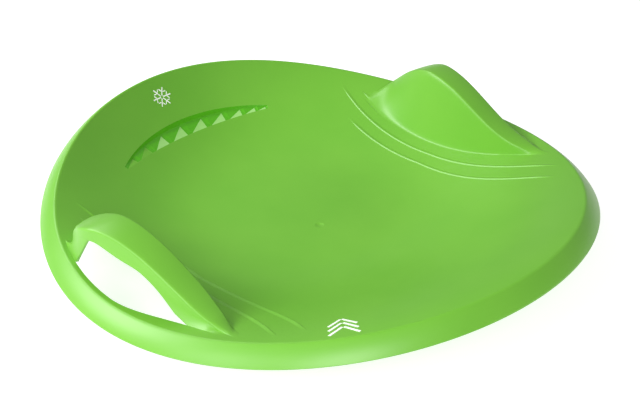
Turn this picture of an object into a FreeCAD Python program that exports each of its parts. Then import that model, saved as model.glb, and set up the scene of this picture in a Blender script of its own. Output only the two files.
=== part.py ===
import FreeCAD, Part
import math
import os

# Saucer sled moulded in polyethylene, in millimetres.
# The origin is the middle of the flat underside, +Z is up, +Y points to the raised nose
# and +X to the rider's right hand. Angles run from the nose towards the right hand.

# Dish
wall = 3.0
floor_radius = 62.0
crest_radius = 282.5
crest_mean = 66.0
crest_saddle = 20.7
crest_nose_lift = 3.3
crest_nose_peak = 1.7
bowl_power = 2.67
bowl_power_swing = 0.65
bowl_shoulder = 1.73

# Rolled rim, a flattened quarter ellipse from the crest outward and down
rim_width = 16.5
rim_drop = 17.5
rim_flatness = 0.75

# Handle foot line, an arc across the dish
foot_inset = 78.4
foot_arc_radius = 487.5
foot_arc_middle = 32.3
handle_nose_end = 127.0
handle_tail_end = -126.0

# Handle grip: heights of the inner ridge, its inner wall, its top and its outer ridge
grip_base = 6.2
grip_rise = 49.0
grip_peak = 38.0
grip_nose_run = 82.0
grip_nose_power = 1.75
grip_tail_run = 160.0
grip_fade_start = -100.0
grip_fade_end = -136.0
grip_wall_run = 18.0
grip_wall_reach_nose = 120.0
grip_wall_reach_tail = 90.0
grip_top_fall = 0.9
grip_top_twist = 0.03
outer_ridge_inset = 27.5
outer_ridge_slant = 0.185
outer_ridge_radius = 714.0
ridge_margin = 3.0
prow_start = 66.0
prow_radius = 130.0
prow_fall_radius = 52.0
wall_flare = 1.8
wall_knee = 0.35
wall_shin = 0.7
wall_fade = 8.0

# Hand slot in the outer side of the grip, and the sill of dish wall below it
sill_width = 6.0
sill_bulge = 11.5
sill_bulge_start = 5.0
sill_bulge_end = -155.0
sill_corner = 0.8
slot_nose = 48.5
slot_nose_lean = 26.5
slot_bend = -34.0
slot_tail = -82.0
slot_lip_nose = 12.5
slot_lip_middle = 17.0
slot_lip_tail = 13.5
slot_dive_back = 0.62
slot_dive_down = 0.42
slot_cutter_depth = 25.0
slot_reach_in = 40.0

# Step lines beside each handle: distance in from the foot line, nose end and tail end
outer_step_inset = 19.7
outer_step_nose = 163.0
outer_step_tail = -160.0
inner_step_inset = 38.5
inner_step_nose = 123.0
inner_step_tail = -175.0
step_spread_run = 310.0
step_height = 1.0
step_riser = 1.0
step_run = 4.5
step_seat = 0.1

# Saw-tooth heel ledge in the nose wall
heel_inset = 50.2
heel_crown = 7.5
heel_width = 18.0
heel_end_width = 3.9
heel_depth = 5.0
heel_end_depth = 1.5
heel_half_angle = 28.5
heel_notches = 9
heel_notch_share = 0.77
heel_slide = 0.1
heel_slide_power = 1.7
heel_root_share = 0.15
heel_brow_share = 0.08
heel_brow_drop = 4.5
heel_wall = 4.5

# Sunk gate mark in the middle of the floor
gate_radius = 6.0
gate_depth = 1.5
gate_dimple_radius = 18.0
gate_dimple_depth = 0.7

# Fineness of the fitted surfaces
slope_step = 0.5
bowl_ease = 1.5
angle_steps = 36
radius_steps = 9
rim_steps = 6
section_count = 27
step_sections = 13

RIGHT = FreeCAD.Vector(1, 0, 0)
UP = FreeCAD.Vector(0, 0, 1)
ORIGIN = FreeCAD.Vector(0, 0, 0)


# Shape of the dish

def crest_height(angle):
    """Height of the rim crest: high at nose and tail, low at the handles."""
    lift = crest_nose_lift * math.cos(angle) + crest_nose_peak * math.cos(3 * angle)
    return crest_mean + crest_saddle * math.cos(2 * angle) + lift


def bowl_height(radius, angle):
    """Height of the dish's upper surface."""
    share = max(0.0, (radius - floor_radius) / (crest_radius - floor_radius))
    power = bowl_power + bowl_power_swing * math.cos(angle)
    shoulder = bowl_shoulder * (1 - max(0.0, math.cos(angle)) ** 2)
    return wall + (crest_height(angle) - wall) * share ** power * (1 + shoulder * (1 - share))


def bowl_thickness(radius, angle):
    """Wall measured straight down, so that it keeps its thickness on the slope."""
    rise = bowl_height(radius, angle) - bowl_height(radius - slope_step, angle)
    return wall * math.hypot(1.0, rise / slope_step)


def bowl_at(x, y):
    return bowl_height(math.hypot(x, y), math.atan2(x, y))


def under_bowl(x, y):
    """Place and height of the dish's underside."""
    return (x, bowl_at(x, y) - bowl_thickness(math.hypot(x, y), math.atan2(x, y)))


def polar(radius, angle, height):
    return FreeCAD.Vector(radius * math.sin(angle), radius * math.cos(angle), height)


# Surfaces and solids through grids of points

def skin(grid):
    surface = Part.BSplineSurface()
    surface.interpolate(grid)
    return surface


def row_edge(surface, last_row):
    """Edge along the first or the last row of a fitted surface."""
    u_first, u_last, v_first, v_last = surface.bounds()
    return surface.uIso(u_last if last_row else u_first).toShape()


def column_edge(surface, last_column):
    """Edge along the first or the last column of a fitted surface."""
    u_first, u_last, v_first, v_last = surface.bounds()
    return surface.vIso(v_last if last_column else v_first).toShape()


def closed_solid(faces):
    shell = Part.makeShell(faces)
    shell.sewShape()
    solid = Part.makeSolid(Part.makeShell(shell.Faces))
    if solid.Volume < 0:
        solid.reverse()
    return solid


def side_faces(top, bottom, with_first_column):
    """Ruled walls that close the gap between an upper and a lower fitted surface."""
    pairs = [(row_edge(top, False), row_edge(bottom, False)),
             (row_edge(top, True), row_edge(bottom, True)),
             (column_edge(top, True), column_edge(bottom, True))]
    if with_first_column:
        pairs.append((column_edge(top, False), column_edge(bottom, False)))
    return [Part.makeRuledSurface(upper, lower) for upper, lower in pairs]


def whole(half):
    """A half on the +X side, joined to its mirror image."""
    return half.fuse(half.mirror(ORIGIN, RIGHT))


def half_angles():
    return [math.pi * i / angle_steps for i in range(angle_steps + 1)]


# Dish

def make_half_dish():
    slant = crest_radius - floor_radius
    radii = [floor_radius + slant * j / radius_steps for j in range(radius_steps + 1)]
    top_grid = [[polar(r, a, bowl_height(r, a)) for r in radii] for a in half_angles()]
    low_grid = [[polar(r, a, bowl_height(r, a) - bowl_thickness(r, a)) for r in radii]
                for a in half_angles()]
    top = skin(top_grid)
    low = skin(low_grid)
    faces = [top.toShape(), low.toShape()] + side_faces(top, low, False)
    for surface, height in ((top, wall), (low, 0.0)):
        nose = FreeCAD.Vector(0, floor_radius, height)
        tail = FreeCAD.Vector(0, -floor_radius, height)
        rim = column_edge(surface, False)
        faces.append(Part.Face(Part.Wire([rim, Part.makeLine(tail, nose)])))
    middle = [FreeCAD.Vector(0, side * floor_radius, height)
              for side, height in ((1, 0.0), (-1, 0.0), (-1, wall), (1, wall), (1, 0.0))]
    faces.append(Part.Face(Part.makePolygon(middle)))
    return closed_solid(faces)


def band_shares():
    """Shares of the rim's width and drop at steps along the band."""
    shares = []
    for j in range(rim_steps + 1):
        turn = math.pi / 2 * j / rim_steps
        flat = rim_flatness * j / rim_steps
        shares.append(((1 - rim_flatness) * math.sin(turn) + flat,
                       (1 - rim_flatness) * (1 - math.cos(turn)) + flat))
    return shares


def make_rim():
    top_grid = []
    low_grid = []
    for a in half_angles():
        crest = crest_height(a)
        edge = bowl_thickness(crest_radius, a)
        inner_width = rim_width - wall
        inner_drop = rim_drop - edge
        top_grid.append([polar(crest_radius + rim_width * outward, a, crest - rim_drop * down)
                         for outward, down in band_shares()])
        low_grid.append([polar(crest_radius + inner_width * outward, a, crest - edge - inner_drop * down)
                         for outward, down in band_shares()])
    top = skin(top_grid)
    low = skin(low_grid)
    return whole(closed_solid([top.toShape(), low.toShape()] + side_faces(top, low, True)))


# Plan lines of the right handle, as distances from the middle at each place along the sled

def smooth_min(a, b, reach):
    """Lesser of two values, rounded where they lie within reach of each other."""
    near = max(0.0, 1 - abs(a - b) / reach)
    return min(a, b) - near * near * reach / 4


def smooth_max(a, b, reach):
    return -smooth_min(-a, -b, reach)


def share_between(value, start, end):
    return min(1.0, max(0.0, (value - start) / (end - start)))


def foot_line(y):
    along = y - foot_arc_middle
    return crest_radius - foot_inset + foot_arc_radius - math.sqrt(foot_arc_radius ** 2 - along ** 2)


def sill_line(y):
    bulge = math.sin(math.pi * share_between(y, sill_bulge_start, sill_bulge_end)) ** 2
    return math.sqrt(crest_radius ** 2 - y ** 2) - sill_width - sill_bulge * bulge


def outer_ridge(y):
    """Outer edge of the grip's top, drawn in to a prow at the nose end."""
    free = crest_radius - outer_ridge_inset + outer_ridge_slant * y + y ** 2 / (2 * outer_ridge_radius)
    prow = max(0.0, y - prow_start) ** 2 / (2 * prow_radius)
    kept = smooth_min(free, sill_line(y) - ridge_margin - prow, 2 * ridge_margin)
    return smooth_max(kept, foot_line(y) + 2 * ridge_margin, 2 * ridge_margin)


def inner_ridge(y):
    reach = grip_wall_reach_nose if y > 0 else grip_wall_reach_tail
    run = smooth_max(grip_wall_run * (1 + y / reach), ridge_margin, 2 * ridge_margin)
    return smooth_min(foot_line(y) + run, outer_ridge(y) - ridge_margin, 2 * ridge_margin)


# Heights of the right handle

def grip_height(y):
    """Height of the inner ridge: steep to the nose, a long slope to the tail."""
    away = abs(y - grip_peak)
    if y > grip_peak:
        share = 1 - (away / grip_nose_run) ** grip_nose_power
    else:
        share = (1 + math.cos(math.pi * min(1.0, away / grip_tail_run))) / 2
    return crest_height(math.pi / 2) + grip_base + grip_rise * share


def outer_height(y):
    """Height of the outer ridge, which falls away from the inner one at the prow."""
    prow = max(0.0, y - prow_start) ** 2 / (2 * prow_fall_radius)
    return grip_height(y) - grip_top_fall - grip_top_twist * y - prow


def above_bowl(height, x, y):
    """The height, faded to the dish at the tail and eased so that it never sinks into it."""
    floor = bowl_at(x, y)
    share = share_between(y, grip_fade_end, grip_fade_start)
    rise = (height - floor) * share * share * (3 - 2 * share)
    return floor + (rise + math.hypot(rise, bowl_ease)) / 2


def wall_point(outer, sill, share, y):
    """Point of the outer wall at a share of its fall, lowered onto the dish where the grip has run out."""
    x = outer[0] + (sill[0] - outer[0]) * share ** wall_flare
    line = outer[1] + (sill[1] - outer[1]) * share
    floor = bowl_at(x, y)
    shown = share_between(outer[1] - bowl_at(outer[0], y), 0.0, wall_fade)
    return (x, floor + max(0.0, line - floor) * shown)


def inset_corner(before, corner, after):
    """Corner moved inward by one wall, square to both of its sides."""
    normals = []
    for start, end in ((before, corner), (corner, after)):
        run, rise = end[0] - start[0], end[1] - start[1]
        length = math.hypot(run, rise)
        normals.append((rise / length, -run / length))
    (ax, az), (bx, bz) = normals
    scale = wall / (1 + ax * bx + az * bz)
    return (corner[0] + (ax + bx) * scale, corner[1] + (az + bz) * scale)


def handle_section(y):
    """Closed section of the grip across the sled: hollow, and filled where its top runs out to a point."""
    foot_x, inner_x, outer_x, sill_x = foot_line(y), inner_ridge(y), outer_ridge(y), sill_line(y)
    foot = (foot_x, bowl_at(foot_x, y))
    sill = (sill_x, bowl_at(sill_x, y))
    inner = (inner_x, above_bowl(grip_height(y), inner_x, y))
    outer = (outer_x, above_bowl(outer_height(y), outer_x, y))
    knee = wall_point(outer, sill, wall_knee, y)
    shin = wall_point(outer, sill, wall_shin, y)
    before = (foot_x - wall, bowl_at(foot_x - wall, y))
    after = (sill_x + wall, bowl_at(sill_x + wall, y))
    upper = [foot, inner, outer, knee, shin, sill]
    path = [before] + upper + [after]
    lower = [inset_corner(path[i - 1], path[i], path[i + 1]) for i in range(1, len(path) - 1)]
    hollow = min(1.0, max(0.0, (outer_x - inner_x) / (2 * wall) - 1))
    for i in range(1, len(upper) - 1):
        solid_floor = under_bowl(upper[i][0], y)
        lower[i] = tuple(hollow * inset + (1 - hollow) * plain
                         for inset, plain in zip(lower[i], solid_floor))
    if lower[-1][0] > sill_x - sill_corner:
        lower[-1] = under_bowl(sill_x - sill_corner, y)
    points = upper + [under_bowl(sill_x, y)] + lower[::-1] + [under_bowl(foot_x, y)]
    loop = [FreeCAD.Vector(x, y, z) for x, z in points]
    return Part.makePolygon(loop + loop[:1])


def handle_places(count):
    span = handle_nose_end - handle_tail_end
    return [handle_tail_end + span * i / (count - 1) for i in range(count)]


def make_slot_cutter():
    """Prism across the sled in the shape of the hand slot, seen from the side."""
    inside = crest_radius - slot_reach_in
    sill_level = crest_height(math.pi / 2)
    low = sill_level - slot_cutter_depth
    nose_foot = slot_nose + slot_nose_lean
    middle = (slot_nose + slot_bend) / 2
    nose_low = FreeCAD.Vector(inside, nose_foot, low)
    nose_sill = FreeCAD.Vector(inside, nose_foot, sill_level)
    nose_top = FreeCAD.Vector(inside, slot_nose, outer_height(slot_nose) - slot_lip_nose)
    top_middle = FreeCAD.Vector(inside, middle, outer_height(middle) - slot_lip_middle)
    bend = FreeCAD.Vector(inside, slot_bend, outer_height(slot_bend) - slot_lip_tail)
    tail_sill = FreeCAD.Vector(inside, slot_tail, sill_level)
    tail_low = FreeCAD.Vector(inside, slot_tail, low)
    dive = FreeCAD.Vector(inside, slot_bend + slot_dive_back * (slot_tail - slot_bend),
                          bend.z + slot_dive_down * (sill_level - bend.z))
    outline = Part.Wire([Part.makeLine(nose_low, nose_sill), Part.makeLine(nose_sill, nose_top),
                         Part.Arc(nose_top, top_middle, bend).toShape(),
                         Part.Arc(bend, dive, tail_sill).toShape(),
                         Part.makeLine(tail_sill, tail_low), Part.makeLine(tail_low, nose_low)])
    return Part.Face(outline).extrude(RIGHT * (slot_reach_in + rim_width))


def make_handle():
    sections = [handle_section(y) for y in handle_places(section_count)]
    return Part.makeLoft(sections, True, True).cut(make_slot_cutter())


def zone_prism(inner_line):
    """Upright prism over the ground outside a plan line, between the handle's two ends."""
    line = Part.BSplineCurve()
    line.interpolate([FreeCAD.Vector(inner_line(y), y, 0) for y in handle_places(section_count)])
    beyond = crest_radius + rim_width
    corners = [FreeCAD.Vector(inner_line(handle_nose_end), handle_nose_end, 0),
               FreeCAD.Vector(beyond, handle_nose_end, 0),
               FreeCAD.Vector(beyond, handle_tail_end, 0),
               FreeCAD.Vector(inner_line(handle_tail_end), handle_tail_end, 0)]
    outline = Part.Wire([line.toShape()] + [Part.makeLine(corners[i], corners[i + 1]) for i in range(3)])
    return Part.Face(outline).extrude(UP * (crest_mean + crest_saddle + grip_rise))


# Step lines

def make_step(offset, nose_end, tail_end):
    """One low bead along the dish: a short riser to the middle, a longer run to the handle."""
    sections = []
    for i in range(step_sections):
        y = tail_end + (nose_end - tail_end) * i / (step_sections - 1)
        x = foot_line(y) - offset * (1 + max(0.0, -y) / step_spread_run)
        ridge = x + step_riser
        far = x + step_run
        loop = [FreeCAD.Vector(x, y, bowl_at(x, y) + step_seat),
                FreeCAD.Vector(ridge, y, bowl_at(ridge, y) + step_height),
                FreeCAD.Vector(far, y, bowl_at(far, y) + step_seat)]
        sections.append(Part.makePolygon(loop + loop[:1]))
    return Part.makeLoft(sections, True, False)


# Heel ledge

def heel_point(share, across):
    """Point on the dish at a share of the ledge's length, some way in from its upper edge."""
    angle = math.radians(heel_half_angle * (2 * share - 1))
    taper = 1 - (2 * share - 1) ** 2
    width = heel_end_width + (heel_width - heel_end_width) * taper
    radius = crest_radius - heel_inset + heel_crown * taper - across * width
    return polar(radius, angle, bowl_height(radius, angle))


def heel_root(share):
    """Deepest point of the notch at a share of the ledge's length."""
    taper = 1 - (2 * share - 1) ** 2
    depth = heel_end_depth + (heel_depth - heel_end_depth) * taper
    return heel_point(share, heel_root_share) - UP * depth


def heel_share(notch):
    """Share of the ledge's length at a notch; the notches get narrower towards the right hand."""
    share = notch / heel_notches
    return share + heel_slide * math.sin(math.pi * share ** heel_slide_power)


def heel_edge(across):
    """Corners between the notches, along the upper edge or along the tips of the teeth."""
    return [heel_point(heel_share(k), across) for k in range(heel_notches + 1)]


def heel_brow():
    """Corners between the notches at the foot of the steep brow below the upper edge."""
    corners = []
    for k, corner in enumerate(heel_edge(heel_brow_share)):
        taper = 1 - (2 * heel_share(k) - 1) ** 2
        corners.append(corner - UP * heel_brow_drop * taper)
    return corners


def make_heel_teeth():
    tops = heel_edge(0.0)
    tips = heel_edge(1.0)
    brows = heel_brow()
    roots = [heel_root(heel_share(k + heel_notch_share)) for k in range(heel_notches)]
    triangles = []
    for k in range(heel_notches):
        triangles += [(tips[k], tips[k + 1], roots[k]), (tips[k], roots[k], brows[k]),
                      (roots[k], brows[k + 1], brows[k]), (roots[k], tips[k + 1], brows[k + 1]),
                      (brows[k], brows[k + 1], tops[k + 1]), (brows[k], tops[k + 1], tops[k])]
    border = tops + brows[-1:] + tips[::-1] + brows[:1]
    drop = UP * heel_wall
    faces = []
    for triangle in triangles:
        faces.append(Part.Face(Part.makePolygon(list(triangle) + [triangle[0]])))
        lower = [corner - drop for corner in triangle]
        faces.append(Part.Face(Part.makePolygon(lower + lower[:1])))
    for start, end in zip(border, border[1:] + border[:1]):
        faces.append(Part.Face(Part.makePolygon([start, end, end - drop, start - drop, start])))
    return closed_solid(faces)


def make_heel_cutter():
    border = heel_edge(0.0) + heel_edge(1.0)[::-1]
    outline = [FreeCAD.Vector(p.x, p.y, 0) for p in border]
    return Part.Face(Part.makePolygon(outline + outline[:1])).extrude(UP * (crest_mean + crest_saddle))


# Gate mark

def make_gate_recess():
    return Part.makeCylinder(gate_radius, gate_depth, UP * (wall - gate_depth))


def make_gate_mark():
    centre = UP * (wall + gate_dimple_radius - gate_dimple_depth)
    return make_gate_recess().cut(Part.makeSphere(gate_dimple_radius, centre))


# Assembly

def main():
    os.makedirs("parts", exist_ok=True)
    half_dish = make_half_dish()
    half_pan = half_dish.cut(zone_prism(foot_line))
    right_sill = half_dish.common(zone_prism(sill_line))
    right_handle = make_handle()
    right_steps = Part.makeCompound([make_step(outer_step_inset, outer_step_nose, outer_step_tail),
                                     make_step(inner_step_inset, inner_step_nose, inner_step_tail)])
    nodes = {
        "saucer_pan": whole(half_pan).cut(make_heel_cutter()).cut(make_gate_recess()),
        "rolled_rim": make_rim(),
        "right_handle": right_handle,
        "left_handle": right_handle.mirror(ORIGIN, RIGHT),
        "right_slot_sill": right_sill,
        "left_slot_sill": right_sill.mirror(ORIGIN, RIGHT),
        "right_handle_steps": right_steps,
        "left_handle_steps": right_steps.mirror(ORIGIN, RIGHT),
        "heel_teeth": make_heel_teeth(),
        "gate_mark": make_gate_mark(),
    }
    for name, shape in nodes.items():
        solids = shape.Solids
        print(name, len(solids), "solid", shape.isValid(), round(shape.Volume), "mm3", shape.BoundBox)
        kept = solids[0] if len(solids) == 1 else Part.makeCompound(solids)
        kept.exportStep("parts/" + name + ".step")


main()
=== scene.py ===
import math

import bpy
import numpy as np
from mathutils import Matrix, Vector


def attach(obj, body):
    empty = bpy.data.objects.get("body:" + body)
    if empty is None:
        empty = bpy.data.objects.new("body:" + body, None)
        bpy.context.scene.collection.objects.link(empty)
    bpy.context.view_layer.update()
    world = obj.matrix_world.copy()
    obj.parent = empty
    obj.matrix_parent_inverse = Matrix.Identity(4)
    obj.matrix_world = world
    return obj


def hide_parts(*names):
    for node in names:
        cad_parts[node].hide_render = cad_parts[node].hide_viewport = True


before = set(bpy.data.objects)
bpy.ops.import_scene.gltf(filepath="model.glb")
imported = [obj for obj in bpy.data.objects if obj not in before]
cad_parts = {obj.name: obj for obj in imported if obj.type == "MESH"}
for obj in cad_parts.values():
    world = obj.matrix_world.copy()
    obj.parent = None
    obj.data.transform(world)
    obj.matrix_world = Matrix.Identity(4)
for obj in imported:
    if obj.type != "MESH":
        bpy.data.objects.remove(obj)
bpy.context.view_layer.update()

# Saucer sled, in metres. The origin is the middle of the flat underside, +Z is up, +Y points to the
# raised nose and +X to the rider's right hand. Angles run from the nose towards the right hand.

# Dish
wall = 0.003
floor_radius = 0.062
crest_radius = 0.2825
crest_mean = 0.066
crest_saddle = 0.0207
crest_nose_lift = 0.0033
crest_nose_peak = 0.0017
bowl_power = 2.67
bowl_power_swing = 0.65
bowl_shoulder = 1.73

# Rolled rim
rim_width = 0.0165
rim_drop = 0.0175
rim_setback = 0.002
rim_flatness = 0.75

# Handle lines
foot_inset = 0.0784
foot_arc_radius = 0.4875
foot_arc_middle = 0.0323
skirt = 0.004
sill_width = 0.006
sill_bulge = 0.0115
sill_bulge_start = 0.005
sill_bulge_end = -0.155
outer_ridge_inset = 0.0275
outer_ridge_slant = 0.185
outer_ridge_radius = 0.714
ridge_margin = 0.003
prow_start = 0.066
prow_radius = 0.130
prow_fall_radius = 0.052
wall_flare = 1.8
handle_nose_angle = math.radians(56.5)
handle_tail_angle = math.radians(119.2)

# Handle heights and inner wall
grip_base = 0.0062
grip_rise = 0.049
grip_peak = 0.038
grip_nose_run = 0.082
grip_nose_power = 1.75
grip_tail_run = 0.160
grip_wall_run = 0.018
grip_wall_reach_nose = 0.120
grip_wall_reach_tail = 0.090
grip_wall_least = 0.0012
grip_fade_start = -0.100
grip_fade_end = -0.136
grip_top_fall = 0.0009
grip_top_twist = 0.03
grip_top_crown = 0.001

# Low horn that runs on from the handle's foot towards the nose
horn_tip = 0.142
horn_root = 0.106
horn_height = 0.0025
horn_power = 2.5
horn_least_share = 0.01

# Softness of the handle's edges
ridge_reach = 0.006
foot_reach = 0.005
foot_fade = 0.015
foot_least_share = 0.02
outer_edge = 0.003
outer_edge_most_share = 0.4

# Hand slot
slot_nose = 0.0485
slot_nose_lean = 0.0265
slot_lip_nose = 0.0125
slot_lip_tail = 0.0135
slot_lip_bulge = 0.004
slot_bend = -0.020
slot_tail = -0.082
slot_dive_power = 3.2
slot_lip_most_share = 0.6
slot_lip_edge_share = 0.5

# Step lines beside each handle: distance in from the foot line, nose end and tail end
step_lines = ((0.0197, 0.163, -0.160), (0.0385, 0.123, -0.175))
step_spread_run = 0.31
step_height = 0.001
step_riser = 0.001
step_run = 0.0045
step_fade = 0.020
step_sink = wall / 3

# Saw-tooth heel ledge: the notches lie side by side, a few mesh cells each
heel_inset = 0.0502
heel_crown = 0.0075
heel_width = 0.018
heel_end_width = 0.0039
heel_depth = 0.005
heel_end_depth = 0.0015
heel_half_angle = math.radians(28.5)
heel_notches = 9
heel_notch_share = 0.77
heel_root_share = 0.15
heel_brow_share = 0.08
heel_brow_drop = 0.0045
heel_cells = 4
heel_slide = 0.1
heel_slide_power = 1.7
heel_floor_cells = 3
# Notches at the left end whose floors get no painted highlight
heel_unhighlighted_notches = 2

# Sunk gate mark
gate_radius = 0.006
gate_dimple_radius = 0.018
gate_dimple_depth = 0.0007

# Plain white marks printed on the dish
mark_lift = 0.0003
mark_sink = 0.0005
mark_step = 0.002

# Snow crystal: its arms and branches start and end so far from the middle and from the branching point
crystal_radius = 0.265
crystal_angle = math.radians(-1.4)
crystal_arms = 6
crystal_turn = math.radians(30.0)
crystal_lean = math.radians(60.0)
crystal_arm_start = 0.0018
crystal_arm_end = 0.013
crystal_arm_width = 0.0014
crystal_branch_root = 0.0068
crystal_branch_start = 0.0013
crystal_branch_end = 0.0052
crystal_branch_width = 0.0012

# Chevrons
chevron_radius = 0.2605
chevron_angle = math.radians(220.4)
chevron_rows = (-0.009, 0.0, 0.009)
chevron_half = 0.013
chevron_gap = 0.0009
chevron_fall = 0.014
chevron_width = 0.0024

# Finishes: two tints of green each, between which the colour drifts
satin_roughness = 0.38
satin_tints = ((0.128, 0.388, 0.027), (0.148, 0.416, 0.033))
polished_roughness = 0.24
# Darker green for the heel's glossier facets: painted shade on its brow, risers and tooth faces
painted_shade_tints = ((0.074, 0.370, 0.006), (0.084, 0.390, 0.008))
# Paler green for the floors of the heel's notches: a painted highlight
painted_highlight_roughness = 0.3
painted_highlight_tints = ((0.27, 0.58, 0.14), (0.33, 0.64, 0.20))
plastic_ior = 1.5
cloud_scale = 9.0
cloud_detail = 4.0
cloud_stops = (0.3, 0.7)
grain_scale = 900.0
grain_detail = 2.0
grain_strength = 0.05
grain_depth = 0.0004
ink_roughness = 0.5
ink_tints = ((0.62, 0.78, 0.52), (0.88, 0.91, 0.86))
ink_scale = 700.0
ink_detail = 3.0
ink_stops = (0.25, 0.5)

# Studio: each light has a name, a bearing in degrees (0 at the tail, -90 at the left handle), a height
# angle in degrees and a power in watts
floor_size = 12.0
floor_gap = 0.0002
floor_grey = 0.5
floor_roughness = 0.9
floor_glow = 0.72
world_strength = 0.32
light_distance = 2.6
light_size = 1.2
light_aim = Vector((0.0, 0.0, 0.05))
studio_lights = (("nose_light", -180.0, 42.0, 18.6),
                 ("left_light", -135.0, 34.0, 46.0),
                 ("near_left_light", -90.0, 30.0, 23.0),
                 ("camera_light", -45.0, 32.0, 38.5))

# Camera, at the photograph's angle; the middle of the view is given in the photograph's pixels
image_width = 640
image_height = 419
focal_pixels = 1134.0
centre_x = 319.4
centre_y = 194.1
sensor_width = 36.0
camera_distance = 1.2405
camera_azimuth = math.radians(-45.0)
camera_elevation = math.radians(31.24)
camera_target = Vector((0.0, 0.0, 0.043))

# Mesh: counts of rows, rings and columns, and shares along each stretch of the handle's section
trace_reach = 0.175
trace_steps = 1401
merge_distance = 1e-7
tiny = 1e-12
sharp_angle = 40.0
rim_sharp_angle = 50.0
heel_sharp_angle = 6.0
gate_sharp_angle = 60.0
edge_round = 0.0005
edge_levels = (0.0, 0.12, 0.35, 0.65, 0.88, 1.0)
edge_bulge = (0.0, 0.8, 1.0, 1.0, 0.8, 0.0)
floor_rings = 5
wall_rings = 16
heel_rings = 3
brow_rings = 5
border_rings = 5
nose_spokes = 20
handle_spokes = 66
tail_spokes = 90
rim_steps = 540
rim_turns = 12
crest_steps = 6
lip_steps = 6
handle_nose_rows = 44
handle_slot_rows = 56
handle_tail_rows = 26
foot_columns = (0.0, 0.4, 0.6, 0.75, 0.88)
side_columns = (0.0, 0.03, 0.06, 0.1, 0.15, 0.25, 0.4, 0.55, 0.7, 0.8, 0.86, 0.91, 0.95)
top_columns = (0.0, 0.03, 0.06, 0.1, 0.15, 0.25, 0.4, 0.55, 0.7, 0.82, 0.92)
edge_columns = (0.0, 0.15, 0.3, 0.45, 0.6, 0.75, 0.9)
wall_columns = (0.0, 0.2, 0.4, 0.6, 0.8, 1.0)
web_columns = (0.15, 0.3, 0.45, 0.6, 0.75, 0.88, 1.0)
least_drop = 0.020
rise_fade = 0.008
sill_columns = 4
step_rows = 120
step_riser_columns = 4
step_run_columns = (0.07, 0.17, 0.34, 0.57, 0.8, 1.0)
gate_spokes = 48
gate_rings = 10


# Shape of the dish

def crest_height(angle):
    """Height of the rim crest: high at nose and tail, low at the handles."""
    lift = crest_nose_lift * np.cos(angle) + crest_nose_peak * np.cos(3 * angle)
    return crest_mean + crest_saddle * np.cos(2 * angle) + lift


def bowl(x, y):
    """Height of the dish's upper surface."""
    angle = np.arctan2(x, y)
    share = np.maximum(0.0, (np.hypot(x, y) - floor_radius) / (crest_radius - floor_radius))
    power = bowl_power + bowl_power_swing * np.cos(angle)
    shoulder = bowl_shoulder * (1 - np.maximum(0.0, np.cos(angle)) ** 2)
    return wall + (crest_height(angle) - wall) * share ** power * (1 + shoulder * (1 - share))


def smooth_min(a, b, reach):
    """Lesser of two heights, rounded where they lie within reach of each other."""
    near = np.clip(1 - np.abs(a - b) / reach, 0.0, 1.0)
    return np.minimum(a, b) - near * near * reach / 4


def smooth_max(a, b, reach):
    return -smooth_min(-a, -b, reach)


def eased(share):
    """Share with a soft start and a soft end."""
    return share * share * (3 - 2 * share)


# Lines and heights of the right handle at each place along the sled

def foot_line(y):
    bend = foot_arc_radius - np.sqrt(foot_arc_radius ** 2 - (y - foot_arc_middle) ** 2)
    return crest_radius - foot_inset + bend


def skirt_line(y):
    return foot_line(y) - skirt


def sill_line(y):
    share = np.clip((y - sill_bulge_start) / (sill_bulge_end - sill_bulge_start), 0.0, 1.0)
    width = sill_width + sill_bulge * np.sin(math.pi * share) ** 2
    return np.sqrt(crest_radius ** 2 - y ** 2) - width


def outer_ridge(y):
    free = crest_radius - outer_ridge_inset + outer_ridge_slant * y + y ** 2 / (2 * outer_ridge_radius)
    prow = np.maximum(0.0, y - prow_start) ** 2 / (2 * prow_radius)
    kept = smooth_min(free, sill_line(y) - ridge_margin - prow, 2 * ridge_margin)
    return smooth_max(kept, foot_line(y) + 2 * ridge_margin, 2 * ridge_margin)


def inner_ridge(y):
    reach = np.where(y > 0, grip_wall_reach_nose, grip_wall_reach_tail)
    run = smooth_max(grip_wall_run * (1 + y / reach), grip_wall_least, 2 * ridge_margin)
    kept = foot_line(y) + run
    return smooth_min(kept, outer_ridge(y) - ridge_margin, 2 * ridge_margin)


def grip_height(y):
    """Height of the inner ridge: steep to the nose, a long slope to the tail."""
    nose = 1 - (np.maximum(0.0, y - grip_peak) / grip_nose_run) ** grip_nose_power
    tail = (1 + np.cos(math.pi * np.clip((grip_peak - y) / grip_tail_run, 0.0, 1.0))) / 2
    return crest_height(math.pi / 2) + grip_base + grip_rise * np.where(y > grip_peak, nose, tail)


def top_fall(y):
    """How far the outer ridge lies below the inner ridge."""
    prow = np.maximum(0.0, y - prow_start) ** 2 / (2 * prow_fall_radius)
    return grip_top_fall + grip_top_twist * y + prow


def tail_fade(y):
    """Share of the grip's height that is left where it runs out to the tail."""
    return eased(np.clip((y - grip_fade_end) / (grip_fade_start - grip_fade_end), 0.0, 1.0))


def horn(x, y):
    """Rise of the low horn above the dish: a ridge along the foot line that widens into the handle."""
    along = np.clip((horn_tip - y) / (horn_tip - horn_root), 0.0, 1.0)
    reach = (sill_line(y) - foot_line(y)) * np.maximum(along, horn_least_share) ** horn_power
    across = np.clip((x - foot_line(y)) / reach, 0.0, 1.0)
    return horn_height * along * 4 * across * (1 - across) * tail_fade(y)


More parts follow.
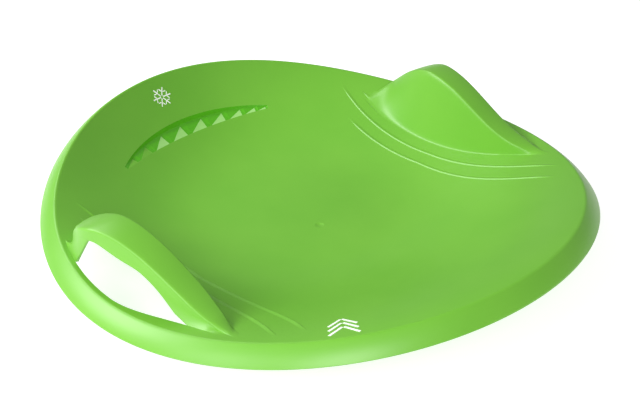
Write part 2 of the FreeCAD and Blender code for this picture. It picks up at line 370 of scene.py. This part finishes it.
def grip_surface(x, y):
    """Height of the handle's inner wall and top, rounded into each other and into the dish."""
    foot = foot_line(y)
    inner = inner_ridge(y)
    foot_z = bowl(foot, y)
    base = bowl(x, y) + horn(x, y)
    rise = np.maximum(0.0, grip_height(y) - foot_z)
    side = foot_z + (x - foot) * rise / (inner - foot)
    across = np.clip((x - inner) / (outer_ridge(y) - inner), 0.0, 1.0)
    crown = grip_top_crown * (1 - (2 * across - 1) ** 2)
    top = grip_height(y) - top_fall(y) * across + crown
    block = base + (smooth_min(side, top, ridge_reach) - base) * tail_fade(y)
    softness = np.clip(rise * tail_fade(y) / foot_fade, foot_least_share, 1.0)
    return smooth_max(block, base, foot_reach * softness)


def place_on(line, angle):
    """Where a plan line crosses a ray from the middle."""
    y = np.linspace(trace_reach, -trace_reach, trace_steps)
    found = np.interp(angle, np.arctan2(line(y), y), y)
    return np.stack([line(found), found], -1)


# Lines of the heel ledge, at a share of its length from the left hand to the right

def heel_share(cell):
    """Share of the ledge's length at a cell; the notches get narrower towards the right hand."""
    share = cell / (heel_notches * heel_cells)
    return share + heel_slide * math.sin(math.pi * share ** heel_slide_power)


def heel_angle(share):
    return heel_half_angle * (2 * share - 1)


def heel_taper(share):
    """Full in the middle of the ledge's length and nothing at its ends."""
    return 1 - (2 * share - 1) ** 2


def heel_radius(share, across):
    """Radius on the ledge, at a share of the way across from its upper edge to its tips."""
    taper = heel_taper(share)
    width = heel_end_width + (heel_width - heel_end_width) * taper
    return crest_radius - heel_inset + heel_crown * taper - across * width


# Meshes

upward = np.array([0.0, 0.0, 1.0])


def spaced(stretches):
    """Evenly spaced values over stretches that run on from each other, each a start, end and count."""
    values = []
    for start, end, steps in stretches:
        values += [start + (end - start) * n / steps for n in range(steps)]
    return values + [stretches[-1][1]]


def surface_normals(grid):
    """Upward normals of a grid of points, from its neighbours."""
    along = np.gradient(grid, axis=0)
    across = np.gradient(grid, axis=1)
    normal = np.cross(across, along)
    length = np.linalg.norm(normal, axis=-1, keepdims=True)
    normal = normal / np.maximum(length, tiny)
    flip = np.where(normal[..., 2].mean() < 0, -1.0, 1.0)
    return normal * flip


def make_object(name, verts, faces, sharp):
    mesh = bpy.data.meshes.new(name)
    mesh.from_pydata([tuple(v) for v in verts], [], faces)
    mesh.validate()
    mesh.shade_smooth()
    mesh.set_sharp_from_angle(angle=math.radians(sharp))
    piece = bpy.data.objects.new(name, mesh)
    bpy.context.scene.collection.objects.link(piece)
    return piece


def grid_quads(number, keep):
    """Faces of a grid's kept cells; with as many rows of cells as of points, the grid closes to a ring."""
    after = np.roll(number, -1, axis=0)
    return [(number[i, j], number[i, j + 1], after[i, j + 1], after[i, j]) for i, j in np.argwhere(keep)]


def open_sides(quads):
    """Sides that only one face has, in the order of the faces."""
    sides = [(q[n], q[(n + 1) % 4]) for q in quads for n in range(4)]
    known = set(sides)
    return [(start, end) for start, end in sides if (end, start) not in known]


def shell(name, grid, normals, keep, exposed):
    """Closed piece one wall thick below a grid of points; exposed borders get a rounded edge."""
    rows, cols = grid.shape[:2]
    count = rows * cols
    top = grid.reshape(-1, 3)
    flat = normals.reshape(-1, 3)
    low = top - flat * wall
    quads = grid_quads(np.arange(count).reshape(rows, cols), keep)
    a, b, c = (top[quads[0][n]] for n in range(3))
    if np.dot(np.cross(b - a, c - a), flat[quads[0][0]]) < 0:
        quads = [q[::-1] for q in quads]
    border = open_sides(quads)
    outward = np.zeros((count, 3))
    for start, end in border:
        push = np.cross(top[end] - top[start], flat[start])
        push = push / max(np.linalg.norm(push), tiny)
        outward[start] += push
        outward[end] += push
    length = np.linalg.norm(outward, axis=1, keepdims=True)
    outward = outward / np.maximum(length, tiny) * exposed.reshape(-1, 1)
    verts = list(top) + list(low)
    ladder = {}
    for corner in sorted({v for side in border for v in side}):
        rungs = [corner]
        for level, bulge in list(zip(edge_levels, edge_bulge))[1:-1]:
            rungs.append(len(verts))
            shift = outward[corner] * edge_round * bulge
            verts.append(top[corner] + (low[corner] - top[corner]) * level + shift)
        ladder[corner] = rungs + [corner + count]
    faces = list(quads) + [tuple(v + count for v in q[::-1]) for q in quads]
    for start, end in border:
        for n in range(len(edge_levels) - 1):
            faces.append((ladder[end][n], ladder[start][n], ladder[start][n + 1], ladder[end][n + 1]))
    return merged_object(name, verts, faces)


def merged_object(name, verts, faces, sharp=sharp_angle):
    """Object from points and faces, with unused and doubled points taken out."""
    verts = np.array(verts)
    used = np.unique(np.concatenate([np.array(f) for f in faces]))
    key = np.round(verts[used] / merge_distance).astype(np.int64)
    _, first, back = np.unique(key, axis=0, return_index=True, return_inverse=True)
    renumber = np.full(len(verts), -1)
    renumber[used] = back.ravel()
    clean = []
    for face in faces:
        ring = [int(renumber[v]) for v in face]
        ring = [v for n, v in enumerate(ring) if v != ring[n - 1]]
        if len(set(ring)) >= 3:
            clean.append(tuple(ring))
    return make_object(name, verts[used][first], clean, sharp)


def add_slab(verts, faces, top, low):
    """Add a closed slab between two grids of points, one above the other."""
    rows, cols = top.shape[:2]
    count = rows * cols
    number = len(verts) + np.arange(count).reshape(rows, cols)
    verts += list(top.reshape(-1, 3)) + list(low.reshape(-1, 3))
    quads = grid_quads(number, np.ones((rows - 1, cols - 1), bool))
    a, b, c = (verts[quads[0][n]] for n in range(3))
    if np.cross(b - a, c - a)[2] < 0:
        quads = [q[::-1] for q in quads]
    faces += quads + [tuple(v + count for v in q[::-1]) for q in quads]
    faces += [(end, start, start + count, end + count) for start, end in open_sides(quads)]


def mirrored(points):
    return points * np.array([-1.0, 1.0, 1.0])


def polar(radius, angle):
    return np.stack([radius * np.sin(angle), radius * np.cos(angle)], -1)


def raise_to_bowl(plan):
    return np.concatenate([plan, bowl(plan[..., 0], plan[..., 1])[..., None]], -1)


# Dish

def ring_radii(angle):
    """Radii of the dish's rings at one angle, with the heel ledge and the handle's border among them."""
    turn = abs((angle + math.pi) % (2 * math.pi) - math.pi)
    held = min(max(turn, handle_nose_angle), handle_tail_angle)
    border = float(np.hypot(*place_on(skirt_line, held)))
    share = np.clip((angle / heel_half_angle + 1) / 2, 0.0, 1.0)
    top, tip = (heel_radius(share, across) * border / border_nose for across in (0.0, 1.0))
    return spaced([(gate_radius, floor_radius, floor_rings),
                   (floor_radius, tip, wall_rings),
                   (tip, top, heel_rings),
                   (top, border, brow_rings),
                   (border, crest_radius - rim_setback, border_rings)])


border_nose = float(np.hypot(*place_on(skirt_line, handle_nose_angle)))
ring_tip = floor_rings + wall_rings
ring_top = ring_tip + heel_rings
ring_border = ring_top + brow_rings


def dish_angles():
    """Angles of the dish's spokes over the whole turn, with the heel notches and handle ends among them."""
    whole = 2 * math.pi
    heel = [heel_angle(heel_share(n)) for n in range(heel_notches * heel_cells)]
    rest = spaced([(heel_half_angle, handle_nose_angle, nose_spokes),
                   (handle_nose_angle, handle_tail_angle, handle_spokes),
                   (handle_tail_angle, whole - handle_tail_angle, tail_spokes),
                   (whole - handle_tail_angle, whole - handle_nose_angle, handle_spokes),
                   (whole - handle_nose_angle, whole - heel_half_angle, nose_spokes)])
    return np.array(heel + rest[:-1])


def make_pan():
    angles = dish_angles()
    radii = np.array([ring_radii(a) for a in angles])
    plan = polar(radii, angles[:, None])
    grid = raise_to_bowl(plan)
    closed = np.concatenate([grid[-1:], grid, grid[:1]])
    normals = surface_normals(closed)[1:-1]
    rows, cols = grid.shape[:2]
    keep = np.ones((rows, cols - 1), bool)
    keep[:heel_notches * heel_cells, ring_tip:ring_top] = False
    middle = (angles + np.append(angles[1:], angles[0] + 2 * math.pi)) / 2
    turn = np.abs((middle + math.pi) % (2 * math.pi) - math.pi)
    held = (turn > handle_nose_angle) & (turn < handle_tail_angle)
    keep[held, ring_border:] = False
    return shell("saucer_pan_skin", grid, normals, keep, np.zeros((rows, cols)))


# Rolled rim

def make_rim():
    angles = np.linspace(0, 2 * math.pi, rim_steps, endpoint=False)
    crest = crest_height(angles)
    start = crest_radius - rim_setback
    start_z = bowl(*polar(start, angles).T)
    loops = []

    def add(radius, height):
        loops.append(np.concatenate([polar(np.broadcast_to(radius, angles.shape), angles),
                                     np.broadcast_to(height, angles.shape)[:, None]], -1))

    def band(turn, inset, edge):
        """Point of the rolled band: a flattened quarter ellipse from the crest outward and down."""
        flat = rim_flatness * turn / (math.pi / 2)
        outward = (1 - rim_flatness) * math.sin(turn) + flat
        down = (1 - rim_flatness) * (1 - math.cos(turn)) + flat
        fall = rim_drop - wall / 2 - edge
        return crest_radius + (rim_width - inset) * outward, crest - edge - fall * down

    first = rim_setback / rim_width
    end_r, end_z = band(first, 0.0, 0.0)
    for n in range(crest_steps + 1):
        s = n / crest_steps
        radius = (1 - s) ** 2 * start + 2 * s * (1 - s) * crest_radius + s ** 2 * end_r
        add(radius, (1 - s) ** 2 * start_z + 2 * s * (1 - s) * crest + s ** 2 * end_z)
    for n in range(1, rim_turns + 1):
        add(*band(first + (math.pi / 2 - first) * n / rim_turns, 0.0, 0.0))
    slope = (crest - start_z) / rim_setback
    edge = wall * np.hypot(1.0, slope)
    middle = crest_radius + rim_width - wall / 2
    for n in range(1, lip_steps):
        turn = math.pi * n / lip_steps
        add(middle + wall / 2 * math.cos(turn), crest - rim_drop + wall / 2 - wall / 2 * math.sin(turn))
    for n in range(rim_turns, -1, -1):
        add(*band(math.pi / 2 * n / rim_turns, wall, edge))
    add(start, start_z - edge)
    count = len(loops)
    verts = np.concatenate(loops)
    faces = []
    for n in range(count):
        m = (n + 1) % count
        for i in range(rim_steps):
            k = (i + 1) % rim_steps
            faces.append((n * rim_steps + i, n * rim_steps + k, m * rim_steps + k, m * rim_steps + i))
    return merged_object("rolled_rim_skin", verts, faces, rim_sharp_angle)


# Handles

def handle_angles():
    """Angles of the handle's rows, and the numbers of the rows at the two ends of the hand slot."""
    slot_start = float(np.arctan2(outer_ridge(slot_nose), slot_nose))
    slot_end = float(np.arctan2(sill_line(slot_tail), slot_tail))
    angles = spaced([(handle_nose_angle, slot_start, handle_nose_rows),
                     (slot_start, slot_end, handle_slot_rows),
                     (slot_end, handle_tail_angle, handle_tail_rows)])
    return np.array(angles), handle_nose_rows, handle_nose_rows + handle_slot_rows


def slot_sill_points(angles, slot_row, tail_row):
    """Points of the sill line for each row; rows near the slot's nose end lean towards the nose."""
    lean_y = slot_nose + slot_nose_lean
    lean = float(np.arctan2(sill_line(lean_y), lean_y)) - angles[slot_row]
    reach = np.where(np.arange(len(angles)) < slot_row, slot_row, tail_row - slot_row)
    away = np.clip(np.abs(np.arange(len(angles)) - slot_row) / reach, 0.0, 1.0)
    return place_on(sill_line, angles + lean * (1 - away) ** 2)


def handle_grid():
    """Rows of points from the handle's foot over the grip to the sill line."""
    angles, slot_row, tail_row = handle_angles()
    lines = (skirt_line, foot_line, inner_ridge, outer_ridge)
    skirt_plan, foot_plan, inner_plan, outer_plan = (place_on(line, angles) for line in lines)
    setback = np.minimum(outer_edge, outer_edge_most_share * (outer_plan[:, 0] - inner_plan[:, 0]))
    near = outer_plan - np.stack([setback, np.zeros_like(setback)], -1)
    plan = []
    for start, end, shares in ((skirt_plan, foot_plan, foot_columns),
                               (foot_plan, inner_plan, side_columns),
                               (inner_plan, near, top_columns)):
        plan += [start + (end - start) * s for s in shares]
    columns = [np.concatenate([p, grip_surface(p[:, 0], p[:, 1])[:, None]], -1) for p in plan]
    y = outer_plan[:, 1]
    base = bowl(outer_plan[:, 0], y)
    rise = np.maximum(0.0, grip_height(y) - top_fall(y) - base) * tail_fade(y)
    ridge = np.concatenate([outer_plan, (base + rise)[:, None]], -1)
    foot = raise_to_bowl(place_on(sill_line, angles))
    drop = np.maximum(ridge[:, 2] - foot[:, 2], least_drop)
    shown = np.clip(rise / rise_fade, 0.0, 1.0)

    def above_dish(points):
        """Points of the outer wall, lowered onto the dish where the grip has run out."""
        floor = bowl(points[:, 0], points[:, 1])
        points[:, 2] = floor + np.maximum(0.0, points[:, 2] - floor) * shown
        return points

    def on_wall(share):
        """Point of the outer wall, at a share of the way down from ridge to sill."""
        plan = ridge[:, :2] + (foot - ridge)[:, :2] * (share ** wall_flare)[:, None]
        height = ridge[:, 2] + (foot - ridge)[:, 2] * share
        return above_dish(np.concatenate([plan, height[:, None]], -1))

    along = np.clip((y - slot_bend) / (slot_nose - slot_bend), 0.0, 1.0)
    bulge = slot_lip_bulge * (4 * along * (1 - along)) ** 2
    lip = slot_lip_tail + (slot_lip_nose - slot_lip_tail) * along + bulge
    dive = np.clip((slot_bend - foot[:, 1]) / (slot_bend - slot_tail), 0.0, 1.0)
    dive = dive ** slot_dive_power
    lip_share = np.minimum(lip / drop, slot_lip_most_share)
    lip_share = lip_share + (1 - lip_share) * dive
    turn_share = np.minimum(outer_edge / drop, slot_lip_edge_share * lip_share)
    first = np.stack([near[:, 0], near[:, 1], grip_surface(near[:, 0], near[:, 1])], -1)
    second = on_wall(turn_share)
    for s in edge_columns:
        columns.append((1 - s) ** 2 * first + 2 * s * (1 - s) * ridge + s ** 2 * second)
    for s in wall_columns:
        columns.append(on_wall(turn_share + (lip_share - turn_share) * s))
    edge = columns[-1]
    last = len(columns) - 1
    sill = raise_to_bowl(slot_sill_points(angles, slot_row, tail_row))
    for s in web_columns:
        columns.append(above_dish(edge + (sill - edge) * s))
    grid = np.stack(columns, 1)
    grid[..., 2] = np.maximum(grid[..., 2], bowl(grid[..., 0], grid[..., 1]))
    return grid, slot_row, tail_row, last


def make_handle(name, side):
    grid, slot_row, tail_row, last = handle_grid()
    rows, cols = grid.shape[:2]
    normals = np.zeros_like(grid)
    normals[:slot_row + 1, last:] = surface_normals(grid[:slot_row + 1, last:])
    normals[:, :last + 1] = surface_normals(grid[:, :last + 1])
    keep = np.ones((rows - 1, cols - 1), bool)
    keep[slot_row:, last:] = False
    exposed = np.zeros((rows, cols))
    exposed[slot_row:tail_row, last] = 1.0
    exposed[slot_row, last:cols - 1] = 1.0
    if side < 0:
        grid, normals = mirrored(grid), mirrored(normals)
    return shell(name, grid, normals, keep, exposed)


def make_sill(name, side):
    angles, slot_row, tail_row = handle_angles()
    inner = slot_sill_points(angles, slot_row, tail_row)
    outer = polar(crest_radius - rim_setback, np.arctan2(inner[:, 0], inner[:, 1]))
    plan = np.stack([inner + (outer - inner) * n / sill_columns for n in range(sill_columns + 1)], 1)
    grid = raise_to_bowl(plan)
    normals = surface_normals(grid)
    exposed = np.zeros(grid.shape[:2])
    exposed[slot_row + 1:tail_row, 0] = 1.0
    if side < 0:
        grid, normals = mirrored(grid), mirrored(normals)
    return shell(name, grid, normals, np.ones((len(angles) - 1, sill_columns), bool), exposed)


# Step lines

def make_steps(name, side):
    """Two low beads: a short riser to the middle, a long run to the handle, fading out at both ends."""
    columns = [step_riser * n / step_riser_columns for n in range(step_riser_columns + 1)]
    columns += [step_riser + (step_run - step_riser) * share for share in step_run_columns]
    across = np.array(columns)
    up = np.clip(across / step_riser, 0.0, 1.0)
    down = np.clip((step_run - across) / (step_run - step_riser), 0.0, 1.0)
    profile = step_height * np.minimum(eased(up), down)
    verts, faces = [], []
    for inset, nose_end, tail_end in step_lines:
        y = np.linspace(nose_end, tail_end, step_rows)
        x = foot_line(y) - inset * (1 + np.maximum(0.0, -y) / step_spread_run)
        fade = np.clip(np.minimum(nose_end - y, y - tail_end) / step_fade, 0.0, 1.0)
        plan = np.stack(np.broadcast_arrays(x[:, None] + across, y[:, None]), -1)
        top = raise_to_bowl(plan)
        low = top - upward * step_sink
        top[..., 2] += fade[:, None] * profile
        if side < 0:
            top, low = mirrored(top), mirrored(low)
        add_slab(verts, faces, top, low)
    return merged_object(name, verts, faces)


# Heel ledge

def heel_place(share, across):
    """Point on the dish's surface, at a share along the ledge and a share across it."""
    return raise_to_bowl(polar(heel_radius(share, across), heel_angle(share)))


# Places of the ledge's finishes in its list of materials: a glossier one darkened as painted shade, a paler
# one as a painted highlight, and plain satin
heel_polished_painted_shade = 0
heel_painted_highlight = 1
heel_satin = 2


def make_heel():
    """Saw-tooth ledge: a steep brow under the smooth upper edge, and notches that fall to one root each."""
    verts, faces, finishes = [], [], []
    drop = upward * wall

    def facet(points, finish=heel_polished_painted_shade):
        """Add a facet and its copy one wall lower."""
        base = len(verts)
        verts.extend(points)
        verts.extend([p - drop for p in points])
        n = len(points)
        faces.append(tuple(range(base, base + n)))
        faces.append(tuple(range(base + 2 * n - 1, base + n - 1, -1)))
        finishes.extend([finish, heel_polished_painted_shade])

    cells = heel_notches * heel_cells
    shares = [heel_share(n) for n in range(cells + 1)]
    tops = [heel_place(share, 0.0) for share in shares]
    tips = [heel_place(share, 1.0) for share in shares]
    brows = [heel_place(share, heel_brow_share) - upward * heel_brow_drop * heel_taper(share)
             for share in shares]
    for k in range(heel_notches):
        share = heel_share((k + heel_notch_share) * heel_cells)
        depth = heel_end_depth + (heel_depth - heel_end_depth) * heel_taper(share)
        root = heel_place(share, heel_root_share) - upward * depth
        first, last = k * heel_cells, (k + 1) * heel_cells
        # Notch floors after the first few get the paler green as a painted highlight; the first ones stay
        # satin
        floor_satin_or_painted_highlight = heel_satin if k < heel_unhighlighted_notches else heel_painted_highlight
        for n in range(first, last):
            on_floor = n < first + heel_floor_cells
            facet([tips[n], tips[n + 1], root], floor_satin_or_painted_highlight if on_floor else heel_polished_painted_shade)
            # Brow and riser facets take the darker green: painted shade
            facet([root, brows[n + 1], brows[n]])
            facet([brows[n], brows[n + 1], tops[n + 1], tops[n]])
        facet([tips[first], root, brows[first]])
        facet([root, tips[last], brows[last]])
    border = tops + brows[-1:] + tips[::-1] + brows[:1]
    for a, b in zip(border, border[1:] + border[:1]):
        base = len(verts)
        verts.extend([a, b, b - drop, a - drop])
        faces.append((base, base + 1, base + 2, base + 3))
    heel = merged_object("heel_teeth_skin", verts, faces, heel_sharp_angle)
    for face, finish in zip(heel.data.polygons, finishes):
        face.material_index = finish
    return heel


# Gate mark

def make_gate():
    """Disc with a shallow round dimple in it."""
    angles = np.linspace(0, 2 * math.pi, gate_spokes, endpoint=False)
    radii = np.linspace(gate_radius, gate_radius / gate_rings, gate_rings)
    sag = gate_dimple_radius - np.sqrt(gate_dimple_radius ** 2 - radii ** 2)
    heights = np.minimum(wall, wall - gate_dimple_depth + sag)
    heights[0] = wall
    rings = [(gate_radius, 0.0)] + list(zip(radii, heights))
    verts = [(r * math.sin(a), r * math.cos(a), h) for r, h in rings for a in angles]
    number = np.arange(len(verts)).reshape(len(rings), gate_spokes)
    faces = [tuple(number[0]), tuple(number[-1][::-1])]
    for n in range(gate_rings):
        for i in range(gate_spokes):
            k = (i + 1) % gate_spokes
            faces.append((number[n, i], number[n + 1, i], number[n + 1, k], number[n, k]))
    return merged_object("gate_mark_skin", verts, faces, gate_sharp_angle)


# Printed marks, as strokes with a start, an end and a width

def crystal_strokes():
    """Snow crystal, two branches to each arm."""
    strokes = []
    for n in range(crystal_arms):
        turn = crystal_turn + 2 * math.pi * n / crystal_arms
        arm = polar(1.0, turn)
        strokes.append((arm * crystal_arm_start, arm * crystal_arm_end, crystal_arm_width))
        root = arm * crystal_branch_root
        for lean in (-crystal_lean, crystal_lean):
            branch = polar(1.0, turn + lean)
            start = root + branch * crystal_branch_start
            strokes.append((start, root + branch * crystal_branch_end, crystal_branch_width))
    return strokes


def chevron_strokes():
    """Three chevrons, one above the other, that point to the middle of the dish."""
    strokes = []
    for row in chevron_rows:
        for side in (-1, 1):
            tip = np.array([side * chevron_gap, row + chevron_fall / 2])
            end = np.array([side * chevron_half, row - chevron_fall / 2])
            strokes.append((tip, end, chevron_width))
    return strokes


def make_mark(name, radius, angle, strokes):
    """Thin strips on the dish; a stroke's first measure runs round the dish and its second inward."""
    probe = raise_to_bowl(polar(np.array([radius, radius + mark_step]), angle))
    steep = math.hypot(1.0, (probe[1, 2] - probe[0, 2]) / mark_step)
    verts, faces = [], []
    for start, end, width in strokes:
        length = np.linalg.norm(end - start)
        aside = np.array([start[1] - end[1], end[0] - start[0]]) / length * width / 2
        count = int(math.ceil(length / mark_step)) + 1
        middle = start + (end - start) * np.linspace(0, 1, count)[:, None]
        across = np.stack([middle + aside, middle - aside], 1)
        plan = polar(radius - across[..., 1] / steep, angle + across[..., 0] / radius)
        top = raise_to_bowl(plan)
        add_slab(verts, faces, top + upward * mark_lift, top - upward * mark_sink)
    return merged_object(name, verts, faces)


# Materials

def tinted_material(name, roughness, scale, detail, stops, tints):
    """Material whose colour drifts between two tints with a noise of the given scale."""
    material = bpy.data.materials.new(name)
    material.use_nodes = True
    nodes, links = material.node_tree.nodes, material.node_tree.links
    shader = nodes["Principled BSDF"]
    shader.inputs["Roughness"].default_value = roughness
    place = nodes.new("ShaderNodeTexCoord")
    noise = nodes.new("ShaderNodeTexNoise")
    noise.inputs["Scale"].default_value = scale
    noise.inputs["Detail"].default_value = detail
    ramp = nodes.new("ShaderNodeValToRGB")
    for element, stop, tint in zip(ramp.color_ramp.elements, stops, tints):
        element.position = stop
        element.color = (*tint, 1.0)
    links.new(place.outputs["Object"], noise.inputs["Vector"])
    links.new(noise.outputs["Fac"], ramp.inputs["Fac"])
    links.new(ramp.outputs["Color"], shader.inputs["Base Color"])
    return material


def green_plastic(name, roughness, tints):
    """Moulded polyethylene: a slight cloud in its green and a fine grain."""
    material = tinted_material(name, roughness, cloud_scale, cloud_detail, cloud_stops, tints)
    nodes, links = material.node_tree.nodes, material.node_tree.links
    shader = nodes["Principled BSDF"]
    shader.inputs["IOR"].default_value = plastic_ior
    place = nodes.new("ShaderNodeTexCoord")
    grain = nodes.new("ShaderNodeTexNoise")
    grain.inputs["Scale"].default_value = grain_scale
    grain.inputs["Detail"].default_value = grain_detail
    bump = nodes.new("ShaderNodeBump")
    bump.inputs["Strength"].default_value = grain_strength
    bump.inputs["Distance"].default_value = grain_depth
    links.new(place.outputs["Object"], grain.inputs["Vector"])
    links.new(grain.outputs["Fac"], bump.inputs["Height"])
    links.new(bump.outputs["Normal"], shader.inputs["Normal"])
    return material


def white_ink():
    """White print with a little of the green showing through."""
    return tinted_material("white_ink", ink_roughness, ink_scale, ink_detail, ink_stops, ink_tints)


def plain_floor():
    """Pale matt floor with a glow of its own, as in a studio sweep."""
    material = bpy.data.materials.new("studio_floor")
    material.use_nodes = True
    shader = material.node_tree.nodes["Principled BSDF"]
    shader.inputs["Base Color"].default_value = (floor_grey, floor_grey, floor_grey, 1.0)
    shader.inputs["Roughness"].default_value = floor_roughness
    shader.inputs["Emission Color"].default_value = (1.0, 1.0, 1.0, 1.0)
    shader.inputs["Emission Strength"].default_value = floor_glow
    return material


# Assembly

satin = green_plastic("green_polyethylene", satin_roughness, satin_tints)
# Glossier heel finish in a darker green: painted shade
polished_painted_shade = green_plastic("green_polyethylene_polished_painted_shade", polished_roughness, painted_shade_tints)
# Paler heel finish for the notch floors: a painted highlight
painted_highlight = green_plastic("green_polyethylene_painted_highlight", painted_highlight_roughness, painted_highlight_tints)
pieces = {
    "saucer_pan": make_pan(),
    "rolled_rim": make_rim(),
    "right_handle": make_handle("right_handle_skin", 1),
    "left_handle": make_handle("left_handle_skin", -1),
    "right_slot_sill": make_sill("right_slot_sill_skin", 1),
    "left_slot_sill": make_sill("left_slot_sill_skin", -1),
    "right_handle_steps": make_steps("right_handle_steps_skin", 1),
    "left_handle_steps": make_steps("left_handle_steps_skin", -1),
    "heel_teeth": make_heel(),
    "gate_mark": make_gate(),
}
for node, piece in pieces.items():
    finishes = (polished_painted_shade, painted_highlight, satin) if node == "heel_teeth" else (satin,)
    for finish in finishes:
        piece.data.materials.append(finish)
    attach(piece, "root")
    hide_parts(node)

white = white_ink()
marks = (make_mark("nose_crystal_print", crystal_radius, crystal_angle, crystal_strokes()),
         make_mark("tail_chevron_print", chevron_radius, chevron_angle, chevron_strokes()))
for mark in marks:
    mark.data.materials.append(white)
    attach(mark, "root")


# Studio

def direction(bearing, lift):
    """Unit vector from the sled towards a bearing and a height angle."""
    return Vector((math.sin(bearing) * math.cos(lift), -math.cos(bearing) * math.cos(lift), math.sin(lift)))


def add_looking(thing, spot, way):
    """Add a light or camera at a spot, looking along a direction."""
    thing.location = spot
    thing.rotation_mode = "QUATERNION"
    thing.rotation_quaternion = way.to_track_quat("-Z", "Y")
    bpy.context.scene.collection.objects.link(thing)


def area_light(name, bearing, lift, power):
    """Round soft light that looks at the sled."""
    way = direction(math.radians(bearing), math.radians(lift))
    light = bpy.data.lights.new(name, "AREA")
    light.shape = "DISK"
    light.size = light_size
    light.energy = power
    lamp = bpy.data.objects.new(name, light)
    add_looking(lamp, light_aim + way * light_distance, -way)


bpy.ops.mesh.primitive_plane_add(size=floor_size, location=(0.0, 0.0, -floor_gap))
floor = bpy.context.object
floor.name = "studio_floor"
floor.data.materials.append(plain_floor())

for studio_light in studio_lights:
    area_light(*studio_light)

world = bpy.data.worlds.new("studio_world")
world.use_nodes = True
sky = world.node_tree.nodes["Background"]
sky.inputs["Color"].default_value = (1.0, 1.0, 1.0, 1.0)
sky.inputs["Strength"].default_value = world_strength
bpy.context.scene.world = world
bpy.context.scene.view_settings.view_transform = "Standard"

# Camera

lens = bpy.data.cameras.new("camera")
lens.sensor_width = sensor_width
lens.lens = focal_pixels / image_width * sensor_width
lens.shift_x = (image_width / 2 - centre_x) / image_width
lens.shift_y = (centre_y - image_height / 2) / image_width
camera = bpy.data.objects.new("camera", lens)
back = direction(camera_azimuth, camera_elevation)
add_looking(camera, camera_target + back * camera_distance, -back)
bpy.context.scene.camera = camera
